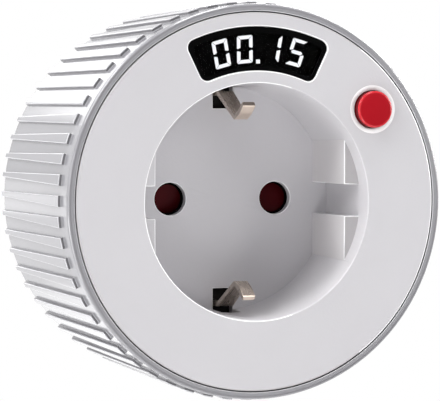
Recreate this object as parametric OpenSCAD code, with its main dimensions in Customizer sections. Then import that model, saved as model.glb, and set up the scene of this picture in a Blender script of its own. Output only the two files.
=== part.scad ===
// Plug-in countdown timer for a two-pin mains socket with side earth contacts.
// A plug with round pins is at the back and a socket well is at the front.
// A ribbed ring around the body sets the time, a small display shows it,
// and a round button starts the countdown.
// Every piece is drawn with the socket facing +Z, from the plug's contact face
// at zero, and upright() stands it up so that the socket faces -Y.

/* [Pins and socket] */
// Distance between the pin centres, of the plug and of the socket
pin_pitch = 19; // [18.6:0.1:19.4]
// Diameter of a plug pin
pin_d = 4.8; // [4.6:0.1:5]
// Length of a plug pin in front of the plug's contact face
pin_len = 19; // [18:0.25:19.25]
// Diameter of a pin hole in the socket's floor
pin_hole_d = 5.6; // [5.3:0.1:5.9]
// Diameter of the socket's well at its mouth
well_d = 39.3; // [39:0.1:39.8]
// Amount by which the well's diameter shrinks down to its floor
well_draft = 1.1; // [0.6:0.1:1.4]
// Depth of the well from the face to its floor
well_depth = 17.5; // [17:0.25:18]
// Thickness of the well's wall at the floor
well_wall = 2.15; // [2:0.05:2.4]
// Thickness of the floor plate that holds the pin holes
floor_t = 1.8; // [1.6:0.1:2]
// Distance between the flats of the two guide blocks, at the floor
key_gap = 32.8; // [32:0.2:33.6]
// Amount by which that distance grows up to the blocks' front
key_draft = 0.6; // [0:0.1:1]
// Width of the slot that splits each guide block
key_slot = 5.3; // [4.8:0.1:6]
// Depth of the blocks' front below the face
key_drop = 3.9; // [3:0.1:5]

/* [Plug] */
// Diameter of the plug's boss, which enters the wall socket
boss_d = 37; // [36.4:0.2:37.6]
// Height of the boss from its contact face to the wall flange
boss_depth = 17.5; // [17:0.25:18.5]
// Thickness of the boss's contact face
boss_face_t = 2.5; // [2:0.1:3]
// Distance across the two flats beside the pins
boss_flats = 32; // [31:0.2:32.4]
// Width of the rib in the middle of each flat
boss_rib = 4.6; // [4:0.1:4.8]
// Width of the earth strips at the top and bottom of the boss
strip_w = 5; // [4:0.25:6]

/* [Housing] */
// Depth of the body from the wall flange to the face
body_depth = 44; // [43.5:0.5:47]
// Width of the face between the well and the cover's edge
face_w = 11.65; // [11.4:0.05:12]
// Thickness of the front cover's face
cover_t = 2; // [1.8:0.1:2.2]
// Thickness of the back plate
plate_t = 2; // [1.8:0.1:2.4]
// Wall of the rear housing's tube
tube_wall = 1.6; // [1.4:0.1:1.8]
// Wall of the skirts that the ring turns on
skirt_wall = 1.3; // [1.1:0.1:1.4]
// Length of the front skirt behind the face
skirt_len = 14.5; // [13.5:0.25:16]
// Radius of the long screw posts
post_r = 2.3; // [2.1:0.05:2.5]
// Radius of the housing screws
screw_r = 1.3; // [1.1:0.05:1.4]

/* [Setting ring] */
// Amount by which the ring's diameter under the ribs shrinks down to the back
ring_taper = 1.8; // [1:0.1:2]
// Width of the plain lip around the cover
ring_lip = 1.25; // [1.1:0.05:1.5]
// Gap between the cover's edge and the lip
ring_gap = 0.2; // [0.15:0.05:0.3]
// Running clearance of the ring on the two skirts
ring_play = 0.1; // [0.06:0.02:0.14]
// Number of grip ribs
rib_count = 60; // [48:1:72]
// Angle of the first rib from the right when the ring is at rest
rib_turn = 5.3; // [0:0.1:6]
// Height of a rib above the ring
rib_h = 0.6; // [0.4:0.05:0.8]
// Width of a rib at its front end
rib_front_w = 1.8; // [1.4:0.05:2]
// Width of a rib at its back end
rib_back_w = 0.9; // [0.8:0.05:1.2]
// Length of the smooth band in front of the ribs
rib_start = 4.4; // [3.5:0.1:6]
// Length of the smooth edge behind the ribs
rib_stop = 0.4; // [0.3:0.1:2]

/* [Setting gears] */
// Wall of the ring's gear outside the roots of its teeth
gear_wall = 1.05; // [0.95:0.05:1.2]
// Number of internal teeth in the ring
gear_teeth = 96; // [94:2:96]
// Number of teeth on the encoder's pinion
pinion_teeth = 20; // [18:1:21]
// Face width of the ring's teeth
gear_t = 5; // [4:0.25:6]
// Angle of the pinion around the body
pinion_angle = 135; // [133:1:137]

/* [Display] */
// Distance from the display window to the cover's edge
window_rim = 2.3; // [2:0.1:2.6]
// Half of the angle that the window spans
window_half = 26; // [25:0.5:27]
// Radius of the window's corners
window_corner = 1.4; // [1:0.1:1.8]
// Distance of the digits from the edges of the opening under the pane
digit_margin = 0.45; // [0.3:0.05:0.8]
// Width of a digit
digit_w = 2.95; // [2.5:0.05:3.2]
// Width of a digit's strokes
digit_stroke = 0.6; // [0.4:0.05:0.7]
// Depth of the display board's front below the face
display_depth = 9.9; // [9.6:0.1:10.5]

/* [Start button] */
// Diameter of the button's cap
button_d = 6.5; // [6:0.1:6.8]
// Radial gap between the cap and its hole
button_gap = 0.25; // [0.15:0.05:0.35]
// Height of the cap above the face
button_proud = 1.4; // [0.8:0.1:2]
// Angle of the button around the face
button_angle = 37; // [36:0.5:38]

/* [Shutter and contacts] */
// Width of the shutter's bar
shutter_w = 7; // [6.6:0.1:7.2]
// Thickness of the shutter
shutter_t = 2.1; // [1.8:0.1:2.3]
// Thickness of the sheet metal for the earth parts
earth_t = 0.8; // [0.6:0.05:1]
// Thickness of the earth clips
clip_t = 0.8; // [0.6:0.05:0.85]
// Width of an earth clip at its root
clip_w = 3; // [2.6:0.1:3.2]
// Distance between the knees of the two clips
clip_gap = 27.6; // [27:0.2:28.4]
// Height of the knees above the socket's floor
clip_rise = 8.9; // [8:0.1:9.5]

/* [Electronics] */
// Thickness of both circuit boards
board_t = 1.6; // [1.5:0.05:1.7]
// Height of the standoffs under the main board
standoff_h = 2.5; // [2.2:0.1:3]
// Length of the relay
relay_l = 23; // [20:0.5:23.5]
// Width of the relay
relay_w = 10.4; // [9:0.2:10.6]
// Gap between the relay's top and the shutter's back
relay_gap = 1.3; // [1:0.1:4]
// Length of the film capacitor
film_l = 17; // [13:0.5:18]
// Thickness of the film capacitor
film_t = 8; // [6:0.5:8.5]
// Gap between the film capacitor's top and the shutter's back
film_gap = 2.9; // [2:0.1:5]
// Diameter of the smoothing capacitor
can_d = 8; // [6.3:0.1:8.4]
// Height of the smoothing capacitor
can_h = 12; // [11:0.5:14]
// Height of the rotary encoder's body
encoder_h = 6.4; // [6:0.1:7]

/* [Hidden] */
$fn = 72;

e = 0.02;          // overlap that makes two shapes of one piece join
snug = 0.05;       // clearance between fixed pieces that fit in each other
slack = 0.2;       // clearance between pieces that pass each other
far = 100;         // length of a cut that goes past everything

// Heights, from the plug's contact face
face_z = boss_depth + body_depth;
floor_z = face_z - well_depth;
floor_back_z = floor_z - floor_t;
plate_z = boss_depth + plate_t;
board_z = plate_z + standoff_h;
board_top_z = board_z + board_t;
cover_back_z = face_z - cover_t;
display_z = face_z - display_depth;
display_back_z = display_z - board_t;
skirt_end_z = face_z - skirt_len;
tube_end_z = display_back_z - slack;
shutter_top_z = floor_back_z - slack;
shutter_z = shutter_top_z - shutter_t;
carrier_z = shutter_z - slack - 0.1;
encoder_top_z = board_top_z + encoder_h;
gear_z = encoder_top_z + 3;

// Radii of the cover, the ring and the shells
well_r = well_d / 2;
face_r = well_r + face_w;
ring_r = face_r + ring_gap + ring_lip;
ring_back_r = ring_r - ring_taper / 2;
cover_lap = 0.7;
ring_bore_r = face_r - cover_lap;
skirt_r = ring_bore_r - ring_play;
skirt_in_r = skirt_r - skirt_wall;
flange_r = ring_back_r - 0.35;
flange_t = 0.9;
ring_back_z = boss_depth + flange_t + slack;
shelf_z = cover_back_z - 0.3;

// Gear pair. The teeth's module follows from the ring's bore.
gear_module = (ring_bore_r - gear_wall) / (gear_teeth / 2 + 1.25);
gear_r = gear_module * gear_teeth / 2;
gear_tip_r = gear_r - gear_module;
gear_root_r = gear_r + 1.25 * gear_module;
pinion_r = gear_module * pinion_teeth / 2;
pinion_tip_r = pinion_r + gear_module;
pinion_root_r = pinion_r - 1.2 * gear_module;
pinion_pos_r = gear_r - pinion_r;
backlash = 0.06;
pressure_angle = 20;
tube_r = gear_tip_r - slack;
tube_in_r = tube_r - tube_wall;

// Well
well_floor_r = well_r - well_draft / 2;
well_out_r = well_floor_r + well_wall;
pocket_r = well_floor_r + 1.35;
rim_fillet = 0.35;

// Screw posts, in the room between the well and the tube
post_pos_r = (well_out_r + tube_in_r) / 2 - 0.75;
post_angles = [for (i = [0:2]) 83 - window_half + 120 * i];
post_foot = 1.2;
pilot_depth = 10;

// Display
window_r = face_r - window_rim;
window_in_r = well_out_r + 0.45;
pane_t = 0.55;
pane_recess = 0.1;
pane_ledge = 0.6;
opening_in_r = window_in_r + pane_ledge;
opening_r = min(window_r - pane_ledge, tube_r);
digit_t = 0.08;
digit_gap = 0.07;
digit_slant = 5;
digit_h = opening_r - opening_in_r - 2 * digit_margin;
digit_ring_r = (opening_in_r + opening_r) / 2;
digit_shapes = ["abcdef", "abcdef", "bc", "acdfg"];
digit_step = 10.3;
board_from = 11;
board_to = 154;
board_post_angles = [18, 147];
board_post_r = 1.8;
small_screw_r = 0.9;
small_head_r = 1.6;
small_head_h = 1.2;
board_post_pos_r = tube_in_r - small_head_r - 0.375;

// Button and its switch
button_r = button_d / 2;
button_hole_r = button_r + button_gap;
button_travel = 0.5;
button_pos_r = (well_out_r + skirt_in_r) / 2 + 0.175;
tab_t = 1;
tab_half = skirt_in_r - button_pos_r - 0.4;
switch_w = 6;
switch_h = 3.5;
plunger_r = 1.7;
plunger_h = 0.85;
switch_top_z = display_z + switch_h;
plunger_z = switch_top_z - 1.5;

// Shutter and spring
pin_x = pin_pitch / 2;
pin_r = pin_d / 2;
pivot_r = 1.5;
shutter_end = pin_x + pin_hole_d / 2 + 0.9;
spring_wire = 0.4;
spring_r = 2.4;
spring_turns = 3.5;
spring_pocket_r = spring_r + 0.7;
spring_pocket_h = 3.4;

// Earth parts
clip_root_y = well_floor_r - 1.1;
clip_window = clip_w / 2 + 0.3;
clip_window_y = clip_gap / 2 + 1.6;
earth_in_r = norm([shutter_end, shutter_w / 2]) + 1.44;
earth_out_r = pocket_r - 0.6;
link_w = 4;

// Plug boss and pins
boss_r = boss_d / 2;
boss_flange_t = 1;
boss_flange_r = boss_r + 0.88;
boss_hollow_x = 2 * pin_x + 8.4;
strip_y = boss_r - 2.4;
pin_neck_r = pin_r - 0.15;
pin_stub_r = 1;

// Contact carrier
carrier_x = 15.4;
carrier_y = 6;
carrier_base = 0.6;
pocket_contact_r = pin_r + 1.2;
contact_wall = 0.6;
contact_tail_r = 0.6;
contact_tail_x = 2.2;

// Screws
head_r = 2.5;
head_h = 1.5;
head_sink = 0.4;
head_seat_z = boss_depth + head_sink + head_h;
screw_tip_z = board_top_z + 8.4;

// Components, from the main board's edge and the contact carrier
board_r = tube_in_r - slack;
relay_x = -4.3;
relay_y = -sqrt(pow(board_r - 0.9, 2) - pow(relay_l / 2 - relay_x, 2)) + relay_w / 2;
film_x = 4.5;
film_y = carrier_y + 2.4 + film_t / 2;
varistor_r = 3.5;
varistor_t = 3;
fuse_r = 1.6;
fuse_l = 8.5;
rectifier_w = 5;
chip_l = 7;
chip_w = 4.6;
ribbon_r = (well_out_r + tube_in_r) / 2 + 0.075;
ribbon_bend = 1.3;
ribbon_w = 7;
ribbon_t = 0.8;
encoder_w = sqrt(2 * pow(tube_in_r - 0.1, 2) - pow(pinion_pos_r, 2)) - pinion_pos_r;

function polar(r, a) = [r * cos(a), r * sin(a)];
function arc(centre, r, from, to, steps) =
    [for (i = [0:steps]) centre + polar(r, from + (to - from) * i / steps)];
function distinct(points) =
    [for (i = [0:len(points) - 1])
        if (norm(points[i] - points[(i + 1) % len(points)]) > 0.001) points[i]];
function unit(v) = v / norm(v);
function normal(v) = [-v[1], v[0]];

// Direction of a path at point i, halfway between its two stretches
function bisector(path, i) =
    let (last = len(path) - 1,
         before = unit(path[max(i, 1)] - path[max(i, 1) - 1]),
         after = unit(path[min(i, last - 1) + 1] - path[min(i, last - 1)]))
    normal(unit(before + after)) / cos(acos(min(1, before * after)) / 2);

// Outline of a strip of sheet metal that follows a path
function strip_outline(path, t) =
    concat([for (i = [0:len(path) - 1]) path[i] + bisector(path, i) * t / 2],
           [for (i = [len(path) - 1:-1:0]) path[i] - bisector(path, i) * t / 2]);

module upright() {
    rotate([90, 0, 0]) children();
}

// Places a child at a radius and an angle, with its X axis pointing outwards
module around(r, a) {
    rotate([0, 0, a]) translate([r, 0, 0]) children();
}

// A cylinder between two heights
module rod(r, from, to) {
    translate([0, 0, from]) cylinder(r = r, h = to - from);
}

// A block that is centred on x and y, between two heights
module slab(x, y, from, to) {
    translate([-x / 2, -y / 2, from]) cube([x, y, to - from]);
}

module tube(r_out, r_in, from, to) {
    difference() {
        rod(r_out, from, to);
        rod(r_in, from - 1, to + 1);
    }
}

// Extrudes a drawing in X and Z across the piece, w wide and centred on Y
module across_y(w) {
    rotate([90, 0, 0]) linear_extrude(height = w, center = true) children();
}

// Extrudes a drawing in Y and Z across the piece, w wide and centred on X
module across_x(w) {
    rotate([90, 0, 90]) linear_extrude(height = w, center = true) children();
}

// Sector of a flat ring between two angles, under 180 degrees
module sector(r_in, r_out, from, to) {
    middle = (from + to) / 2;
    intersection() {
        difference() {
            circle(r = r_out);
            circle(r = r_in);
        }
        polygon([[0, 0], polar(far, from), polar(far, middle), polar(far, to)]);
    }
}

// Outline of a sector about the top of the face, with four round corners
function window_outline(r_in, r_out, half, corner) =
    let (from = 90 - half, to = 90 + half,
         turn_in = asin(corner / (r_in + corner)),
         turn_out = asin(corner / (r_out - corner)))
    distinct(concat(
        arc([0, 0], r_out, from + turn_out, to - turn_out, 24),
        arc(polar(r_out - corner, to - turn_out), corner, to - turn_out, to + 90, 5),
        arc(polar(r_in + corner, to - turn_in), corner, to + 90, to + 180 - turn_in, 5),
        arc([0, 0], r_in, to - turn_in, from + turn_in, 20),
        arc(polar(r_in + corner, from + turn_in), corner, from + turn_in - 180, from - 90, 5),
        arc(polar(r_out - corner, from + turn_out), corner, from - 90, from + turn_out, 5)));

// ---- Shells ----

module cover_shell() {
    rotate_extrude() polygon(concat(
        [[well_floor_r, floor_z]],
        arc([well_r + rim_fillet, face_z - rim_fillet], rim_fillet, 180, 90, 4),
        arc([face_r - rim_fillet, face_z - rim_fillet], rim_fillet, 90, 0, 4),
        [[face_r, cover_back_z], [skirt_r, cover_back_z], [skirt_r, skirt_end_z],
         [skirt_in_r, skirt_end_z], [skirt_in_r, cover_back_z],
         [well_out_r, cover_back_z], [well_out_r, floor_back_z],
         [pocket_r, floor_back_z], [pocket_r, floor_z]]));
}

// Guide block beside the pins, split by a slot, with a slanted flat
module guide_block() {
    difference() {
        intersection() {
            rod(well_out_r - e, floor_z, face_z - key_drop);
            across_y(well_d) polygon([
                [key_gap / 2, floor_z], [well_r + 1, floor_z],
                [well_r + 1, face_z - key_drop],
                [(key_gap + key_draft) / 2, face_z - key_drop]]);
        }
        rod(key_gap / 2 - 1, floor_z - 1, face_z);
        translate([well_r, 0, 0])
            slab(2 * (well_r - key_gap / 2 + 1), key_slot, floor_z - 1, face_z);
    }
}

// Short ribs inside the skirt centre the rear housing's tube
module skirt_ribs() {
    for (a = [168, 205, 240, 275, 320, 358])
        rotate([0, 0, a])
            translate([tube_r + slack / 2, -1, skirt_end_z])
                cube([skirt_in_r - tube_r, 2, skirt_len - cover_t + e]);
}

module front_cover() upright() color("gainsboro") difference() {
    union() {
        cover_shell();
        for (side = [0, 180]) rotate([0, 0, side]) guide_block();
        skirt_ribs();
        for (a = post_angles)
            around(post_pos_r, a) rod(post_r, board_top_z, cover_back_z + e);
        for (a = board_post_angles)
            around(board_post_pos_r, a) rod(board_post_r, display_z, cover_back_z + e);
    }
    // Pocket for the window's pane, and the opening under it for the display
    translate([0, 0, face_z - pane_t - pane_recess]) linear_extrude(height = far)
        polygon(window_outline(window_in_r, window_r, window_half, window_corner));
    translate([0, 0, cover_back_z - 1]) linear_extrude(height = cover_t - pane_t + 1)
        polygon(window_outline(opening_in_r, opening_r, window_half - 1.3, window_corner / 2));
    around(button_pos_r, button_angle) rod(button_hole_r, cover_back_z - 1, far);
    // Notches in the well's wall behind the roots of the earth clips
    for (side = [-1, 1])
        translate([0, side * clip_window_y, 0])
            slab(2 * clip_window, 2 * (well_floor_r + 0.9 - clip_window_y),
                 floor_z - 1, floor_z + 4.5);
    for (a = post_angles)
        around(post_pos_r, a)
            rod(screw_r + snug, board_top_z - 1, board_top_z + pilot_depth);
    for (a = board_post_angles)
        around(board_post_pos_r, a)
            rod(small_screw_r + snug, display_z - 1, display_z + 5);
}

module socket_floor() upright() color("whitesmoke") difference() {
    union() {
        rod(pocket_r - snug, floor_back_z, floor_z);
        rod(pivot_r, carrier_z, floor_back_z + e);
    }
    for (side = [-1, 1]) {
        translate([side * pin_x, 0, 0]) {
            rod(pin_hole_d / 2, floor_back_z - 1, floor_z + 1);
            translate([0, 0, floor_z - 0.3])
                cylinder(r1 = pin_hole_d / 2, r2 = pin_hole_d / 2 + 0.4, h = 0.4);
        }
        translate([0, side * (clip_window_y + far / 2), 0])
            slab(2 * clip_window, far, floor_back_z - 1, floor_z + 1);
    }
}

// The boss that enters the wall socket, with flats beside the pins. Its root
// fills a hole in the back plate, and a flange holds it from the inside.
module plug_boss() upright() color("gainsboro") {
    chamfer = 0.8;
    difference() {
        rotate_extrude() polygon([
            [0, 0], [boss_r - chamfer, 0], [boss_r, chamfer], [boss_r, plate_z],
            [boss_flange_r, plate_z], [boss_flange_r, plate_z + boss_flange_t],
            [0, plate_z + boss_flange_t]]);
        for (side = [-1, 1]) {
            for (half = [-1, 1])
                translate([side * (boss_flats / 2 + far / 2),
                           half * (boss_rib / 2 + far / 2), 0])
                    slab(far, far, -1, boss_depth);
            // Groove for an earth strip, and the slot for its tail
            translate([0, side * (strip_y - earth_t / 2 - slack + far / 2), 0])
                slab(strip_w + 1.4, far, -1, boss_depth);
            translate([0, side * strip_y, 0])
                slab(strip_w + slack, earth_t + slack, boss_depth - 1, far);
            translate([side * pin_x, 0, 0]) rod(pin_r + snug, -1, boss_face_t + 1);
        }
        // Hollow, open to the inside of the body
        slab(boss_hollow_x, 2 * (strip_y - 4), boss_face_t, far);
        for (a = post_angles)
            around(post_pos_r, a) rod(post_r + post_foot + slack, plate_z, far);
    }
}

module rear_housing() upright() color("gainsboro") difference() {
    union() {
        rod(flange_r, boss_depth, boss_depth + flange_t);
        rod(skirt_r, boss_depth, plate_z);
        tube(skirt_r, skirt_r - skirt_wall, boss_depth, plate_z + 3.5);
        tube(tube_r, tube_in_r, boss_depth, tube_end_z);
        for (a = post_angles) around(post_pos_r, a) rod(post_r + post_foot, boss_depth, board_z);
    }
    rod(boss_r + snug, boss_depth - 1, plate_z + e);
    for (a = post_angles)
        around(post_pos_r, a) {
            rod(head_r + slack, boss_depth - 1, head_seat_z);
            rod(screw_r + slack, boss_depth - 1, far);
        }
    // Opening through which the pinion reaches the ring's teeth
    rotate([0, 0, pinion_angle])
        translate([tube_r, 0, 0])
            slab(4 * tube_wall, 2 * pinion_tip_r - 0.6, gear_z - 0.5, gear_z + gear_t + 0.5);
}

module housing_screws() upright() color("silver") for (a = post_angles)
    around(post_pos_r, a) difference() {
        union() {
            rod(head_r, boss_depth + head_sink, head_seat_z);
            rod(screw_r, head_seat_z - e, screw_tip_z);
        }
        for (turn = [0, 90])
            rotate([0, 0, turn])
                slab(0.6, 2.8, boss_depth, boss_depth + head_sink + 0.9);
    }

// ---- Setting ring and gears ----

module ring_body() {
    lip_bore_r = face_r + ring_gap;
    lip_top_z = face_z - 0.3;
    rotate_extrude() polygon(concat(
        [[ring_bore_r, ring_back_z], [ring_bore_r, shelf_z], [lip_bore_r, shelf_z],
         [lip_bore_r, lip_top_z]],
        arc([ring_r - 0.7, lip_top_z - 0.7], 0.7, 90, 0, 4),
        [[ring_back_r, ring_back_z]]));
}

// Ribs stand on the ring's cone and end in a step at their front
module ring_ribs() {
    front_z = face_z - rib_start;
    back_z = ring_back_z + rib_stop;
    intersection() {
        union() for (i = [0:rib_count - 1])
            rotate([0, 0, rib_turn + i * 360 / rib_count])
                translate([ring_bore_r + 0.5, 0, 0])
                    rotate([90, 0, 90]) linear_extrude(height = 5) polygon([
                        [-rib_back_w / 2, back_z], [rib_back_w / 2, back_z],
                        [rib_front_w / 2, front_z], [-rib_front_w / 2, front_z]]);
        rotate_extrude() polygon([
            [ring_back_r - 0.3, ring_back_z], [ring_back_r + rib_h, ring_back_z],
            [ring_r + rib_h, front_z], [ring_r - 0.3, front_z]]);
    }
}

module setting_ring() upright() color("whitesmoke") union() {
    ring_body();
    ring_ribs();
}

// Involute of the base circle, as a turn in degrees, at radius r
function involute_turn(base_r, r) =
    let (a = acos(min(1, base_r / r))) tan(a) * 180 / PI - a;

// Outline of an external gear. Its teeth are thinner by the backlash.
function gear_outline(teeth, root_r, tip_r, thinner, steps) =
    let (pitch_r = gear_module * teeth / 2,
         base_r = pitch_r * cos(pressure_angle),
         half = 90 / teeth - thinner / 2 / pitch_r * 180 / PI
                + involute_turn(base_r, pitch_r))
    [for (t = [0:teeth - 1])
        for (side = [-1, 1])
            for (i = [0:steps])
                let (share = side < 0 ? i / steps : 1 - i / steps,
                     r = root_r + (tip_r - root_r) * share,
                     turn = half - involute_turn(base_r, max(r, base_r)))
                polar(r, t * 360 / teeth + side * turn)];

// The internal gear is a ring less the outline of a slightly fatter gear
module ring_gear() upright() color("ivory") translate([0, 0, gear_z])
    linear_extrude(height = gear_t) difference() {
        circle(r = ring_bore_r - 0.02, $fn = 360);
        rotate([0, 0, pinion_angle])
            polygon(gear_outline(gear_teeth, gear_tip_r, gear_root_r, -backlash, 1));
    }

module encoder_pinion() upright() color("ivory") around(pinion_pos_r, pinion_angle) {
    translate([0, 0, gear_z + slack]) linear_extrude(height = gear_t - 2 * slack)
        polygon(gear_outline(pinion_teeth, pinion_root_r, pinion_tip_r, backlash, 4));
    rod(2.6, encoder_top_z + slack, gear_z + slack + e);
    rod(1.5, board_top_z + 1, gear_z + gear_t + 0.4);
}

module encoder_body() upright() color("dimgray") around(pinion_pos_r, pinion_angle)
    difference() {
        union() {
            slab(encoder_w, encoder_w, board_top_z, encoder_top_z - 1);
            rod(3, board_top_z, encoder_top_z);
        }
        rod(1.56, board_top_z + 0.8, far);
    }

// ---- Display ----

module display_window() upright() color([0.08, 0.08, 0.09, 0.6])
    translate([0, 0, face_z - pane_recess - pane_t]) linear_extrude(height = pane_t)
        polygon(window_outline(window_in_r + snug, window_r - snug,
                               window_half - 0.1, window_corner));

// One stroke of a digit, with mitred ends, drawn in a cell from zero
function stroke_points(name) =
    let (w = digit_w, h = digit_h, s = digit_stroke, g = digit_gap, m = h / 2)
    name == "a" ? [[g, h], [w - g, h], [w - s - g, h - s], [s + g, h - s]] :
    name == "d" ? [[g, 0], [w - g, 0], [w - s - g, s], [s + g, s]] :
    name == "g" ? [[s / 2 + g, m], [s + g, m + s / 2], [w - s - g, m + s / 2],
                   [w - s / 2 - g, m], [w - s - g, m - s / 2], [s + g, m - s / 2]] :
    name == "b" ? [[w, h - g], [w - s, h - s - g], [w - s, m + s / 2 + g], [w, m + g]] :
    name == "c" ? [[w, g], [w - s, s + g], [w - s, m - s / 2 - g], [w, m - g]] :
    name == "e" ? [[0, g], [s, s + g], [s, m - s / 2 - g], [0, m - g]] :
                  [[0, h - g], [s, h - s - g], [s, m + s / 2 + g], [0, m + g]];

module digit(strokes) {
    for (name = strokes)
        polygon([for (p = stroke_points(name))
            [p[0] - digit_w / 2 + (p[1] - digit_h / 2) * tan(digit_slant),
             p[1] - digit_h / 2]]);
}

module display_digits() upright() color("white")
    translate([0, 0, face_z - pane_recess - pane_t - digit_t - 0.02])
        linear_extrude(height = digit_t) {
            for (i = [0:3])
                rotate([0, 0, (1.5 - i) * digit_step])
                    translate([0, digit_ring_r, 0]) digit(digit_shapes[i]);
            translate([0, digit_ring_r - digit_h / 2 + digit_stroke / 2, 0])
                square(digit_stroke, center = true);
        }

module display_module() upright() color("black") {
    translate([0, 0, display_z])
        linear_extrude(height = face_z - pane_recess - pane_t - digit_t - 0.02 - display_z)
            polygon(window_outline(opening_in_r + snug, opening_r - snug,
                                   window_half - 1.5, window_corner / 2));
}

module display_board() upright() color("darkgreen") difference() {
    translate([0, 0, display_back_z]) linear_extrude(height = board_t)
        sector(well_out_r + 0.35, skirt_in_r - slack, board_from, board_to);
    around(post_pos_r, post_angles[0])
        rod(post_r + slack, display_back_z - 1, display_z + 1);
    for (a = board_post_angles)
        around(board_post_pos_r, a)
            rod(small_screw_r + slack, display_back_z - 1, display_z + 1);
}

module display_screws() upright() color("silver") for (a = board_post_angles)
    around(board_post_pos_r, a) {
        rod(small_head_r, display_back_z - small_head_h, display_back_z);
        rod(small_screw_r, display_back_z - e, display_z + 4);
    }

// ---- Start button ----

module start_button() upright() color("firebrick") around(button_pos_r, button_angle) {
    top_z = face_z + button_proud;
    tab_z = cover_back_z - 0.1 - tab_t;
    fillet = 0.5;
    rotate_extrude() polygon(concat(
        [[0, tab_z + tab_t / 2], [button_r, tab_z + tab_t / 2]],
        arc([button_r - fillet, top_z - fillet], fillet, 0, 90, 4),
        [[0, top_z]]));
    intersection() {
        rod(button_r + 1.4, tab_z, tab_z + tab_t);
        slab(2 * tab_half, far, tab_z - 1, tab_z + tab_t + 1);
    }
    rod(1.2, switch_top_z + plunger_h + snug, tab_z + e);
}

module tact_switch() upright() color("dimgray") around(button_pos_r, button_angle)
    difference() {
        slab(switch_w, switch_w, display_z, switch_top_z);
        rod(plunger_r + snug, plunger_z - button_travel - slack, far);
    }

module tact_plunger() upright() color("black") around(button_pos_r, button_angle)
    rod(plunger_r, plunger_z, switch_top_z + plunger_h);

// ---- Shutter and contacts ----

// A bar on a round hub. Each end has a ramp that an entering pin pushes aside.
module shutter() upright() color("maroon") difference() {
    union() {
        slab(2 * shutter_end, shutter_w, shutter_z, shutter_top_z);
        rod(shutter_w / 2 + 0.6, shutter_z, shutter_top_z);
    }
    rod(pivot_r + snug, shutter_z - 1, far);
    for (turn = [0, 180])
        rotate([0, 0, turn]) translate([pin_x, 0, 0])
            across_x(pin_hole_d) polygon([
                [-shutter_w / 2 + 0.6, shutter_top_z + 1],
                [-shutter_w / 2 + 0.6, shutter_top_z - 0.2],
                [shutter_w / 2 + 1, shutter_z + 0.7],
                [shutter_w / 2 + 1, shutter_top_z + 1]]);
}

// Round wire that follows a list of points, with a ring of corners at each
module wire(path, r, sides) {
    count = len(path);
    rings = [for (i = [0:count - 1])
        let (ahead = unit(path[min(i + 1, count - 1)] - path[max(i - 1, 0)]),
             out = unit(cross(ahead, [0, 0, 1])),
             up = cross(out, ahead))
        for (k = [0:sides - 1])
            path[i] + r * cos(k * 360 / sides) * out + r * sin(k * 360 / sides) * up];
    walls = [for (i = [0:count - 2]) for (k = [0:sides - 1])
        let (next = (k + 1) % sides)
        [i * sides + k, i * sides + next, (i + 1) * sides + next, (i + 1) * sides + k]];
    polyhedron(rings, concat(walls,
        [[for (k = [sides - 1:-1:0]) k], [for (k = [0:sides - 1]) (count - 1) * sides + k]]));
}

// Torsion spring in the carrier's middle pocket, with one straight leg at each end
module shutter_spring() upright() color("silver") {
    per_turn = 16;
    steps = spring_turns * per_turn;
    bottom_z = carrier_z - spring_pocket_h + 0.3;
    rise = spring_pocket_h - 0.9;
    coil = [for (i = [0:steps])
        [spring_r * cos(i * 360 / per_turn), spring_r * sin(i * 360 / per_turn),
         bottom_z + spring_wire / 2 + rise * i / steps]];
    wire(concat([coil[0] - [0, 2.2, 0]], coil, [coil[steps] + [0, -2.2, 0]]),
         spring_wire / 2, 6);
}

module contact_carrier() upright() color("beige") difference() {
    union() {
        slab(2 * carrier_x, 2 * carrier_y, board_top_z, board_top_z + 3);
        for (side = [-1, 1])
            translate([side * pin_x, 0, 0])
                rod(pocket_contact_r + 1.6, board_top_z, carrier_z);
        slab(2 * pin_x, 2 * spring_pocket_r + 2, board_top_z, carrier_z);
    }
    for (side = [-1, 1])
        translate([side * pin_x, 0, 0]) {
            rod(pocket_contact_r, board_top_z + carrier_base, far);
            translate([-side * contact_tail_x, 0, 0]) rod(contact_tail_r + 0.1, board_top_z - 1, far);
            rod(pin_stub_r + 0.1, board_top_z - 1, far);
        }
    rod(spring_pocket_r, carrier_z - spring_pocket_h, far);
    slab(2 * spring_r + 2 * spring_wire, 8, carrier_z - spring_pocket_h, far);
}

// Slotted sleeve that grips a pin, with a tail through the main board
module pin_contact(side) {
    base_z = board_top_z + carrier_base;
    top_z = carrier_z - 1;
    inner = pin_r + 0.1;
    translate([side * pin_x, 0, 0]) {
        difference() {
            rotate_extrude() polygon([
                [0, base_z], [inner + contact_wall, base_z],
                [inner + contact_wall, top_z - 1.2], [inner + contact_wall + 0.3, top_z],
                [inner + 0.4, top_z], [inner, top_z - 1.4], [inner, base_z + 0.5],
                [0, base_z + 0.5]]);
            slab(1, 2 * pocket_contact_r, base_z + 3, far);
        }
        translate([-side * contact_tail_x, 0, 0]) rod(contact_tail_r, board_z - 0.6, base_z + 0.3);
    }
}

module live_contact() upright() color("goldenrod") pin_contact(1);

module neutral_contact() upright() color("goldenrod") pin_contact(-1);

// Half ring of sheet metal under the floor that joins the two clips
module earth_plate() upright() color("silver")
    translate([0, 0, floor_back_z - earth_t]) linear_extrude(height = earth_t) {
        intersection() {
            difference() {
                circle(r = earth_out_r);
                circle(r = earth_in_r);
            }
            translate([-clip_window, -far / 2]) square([far, far]);
        }
    }

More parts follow.
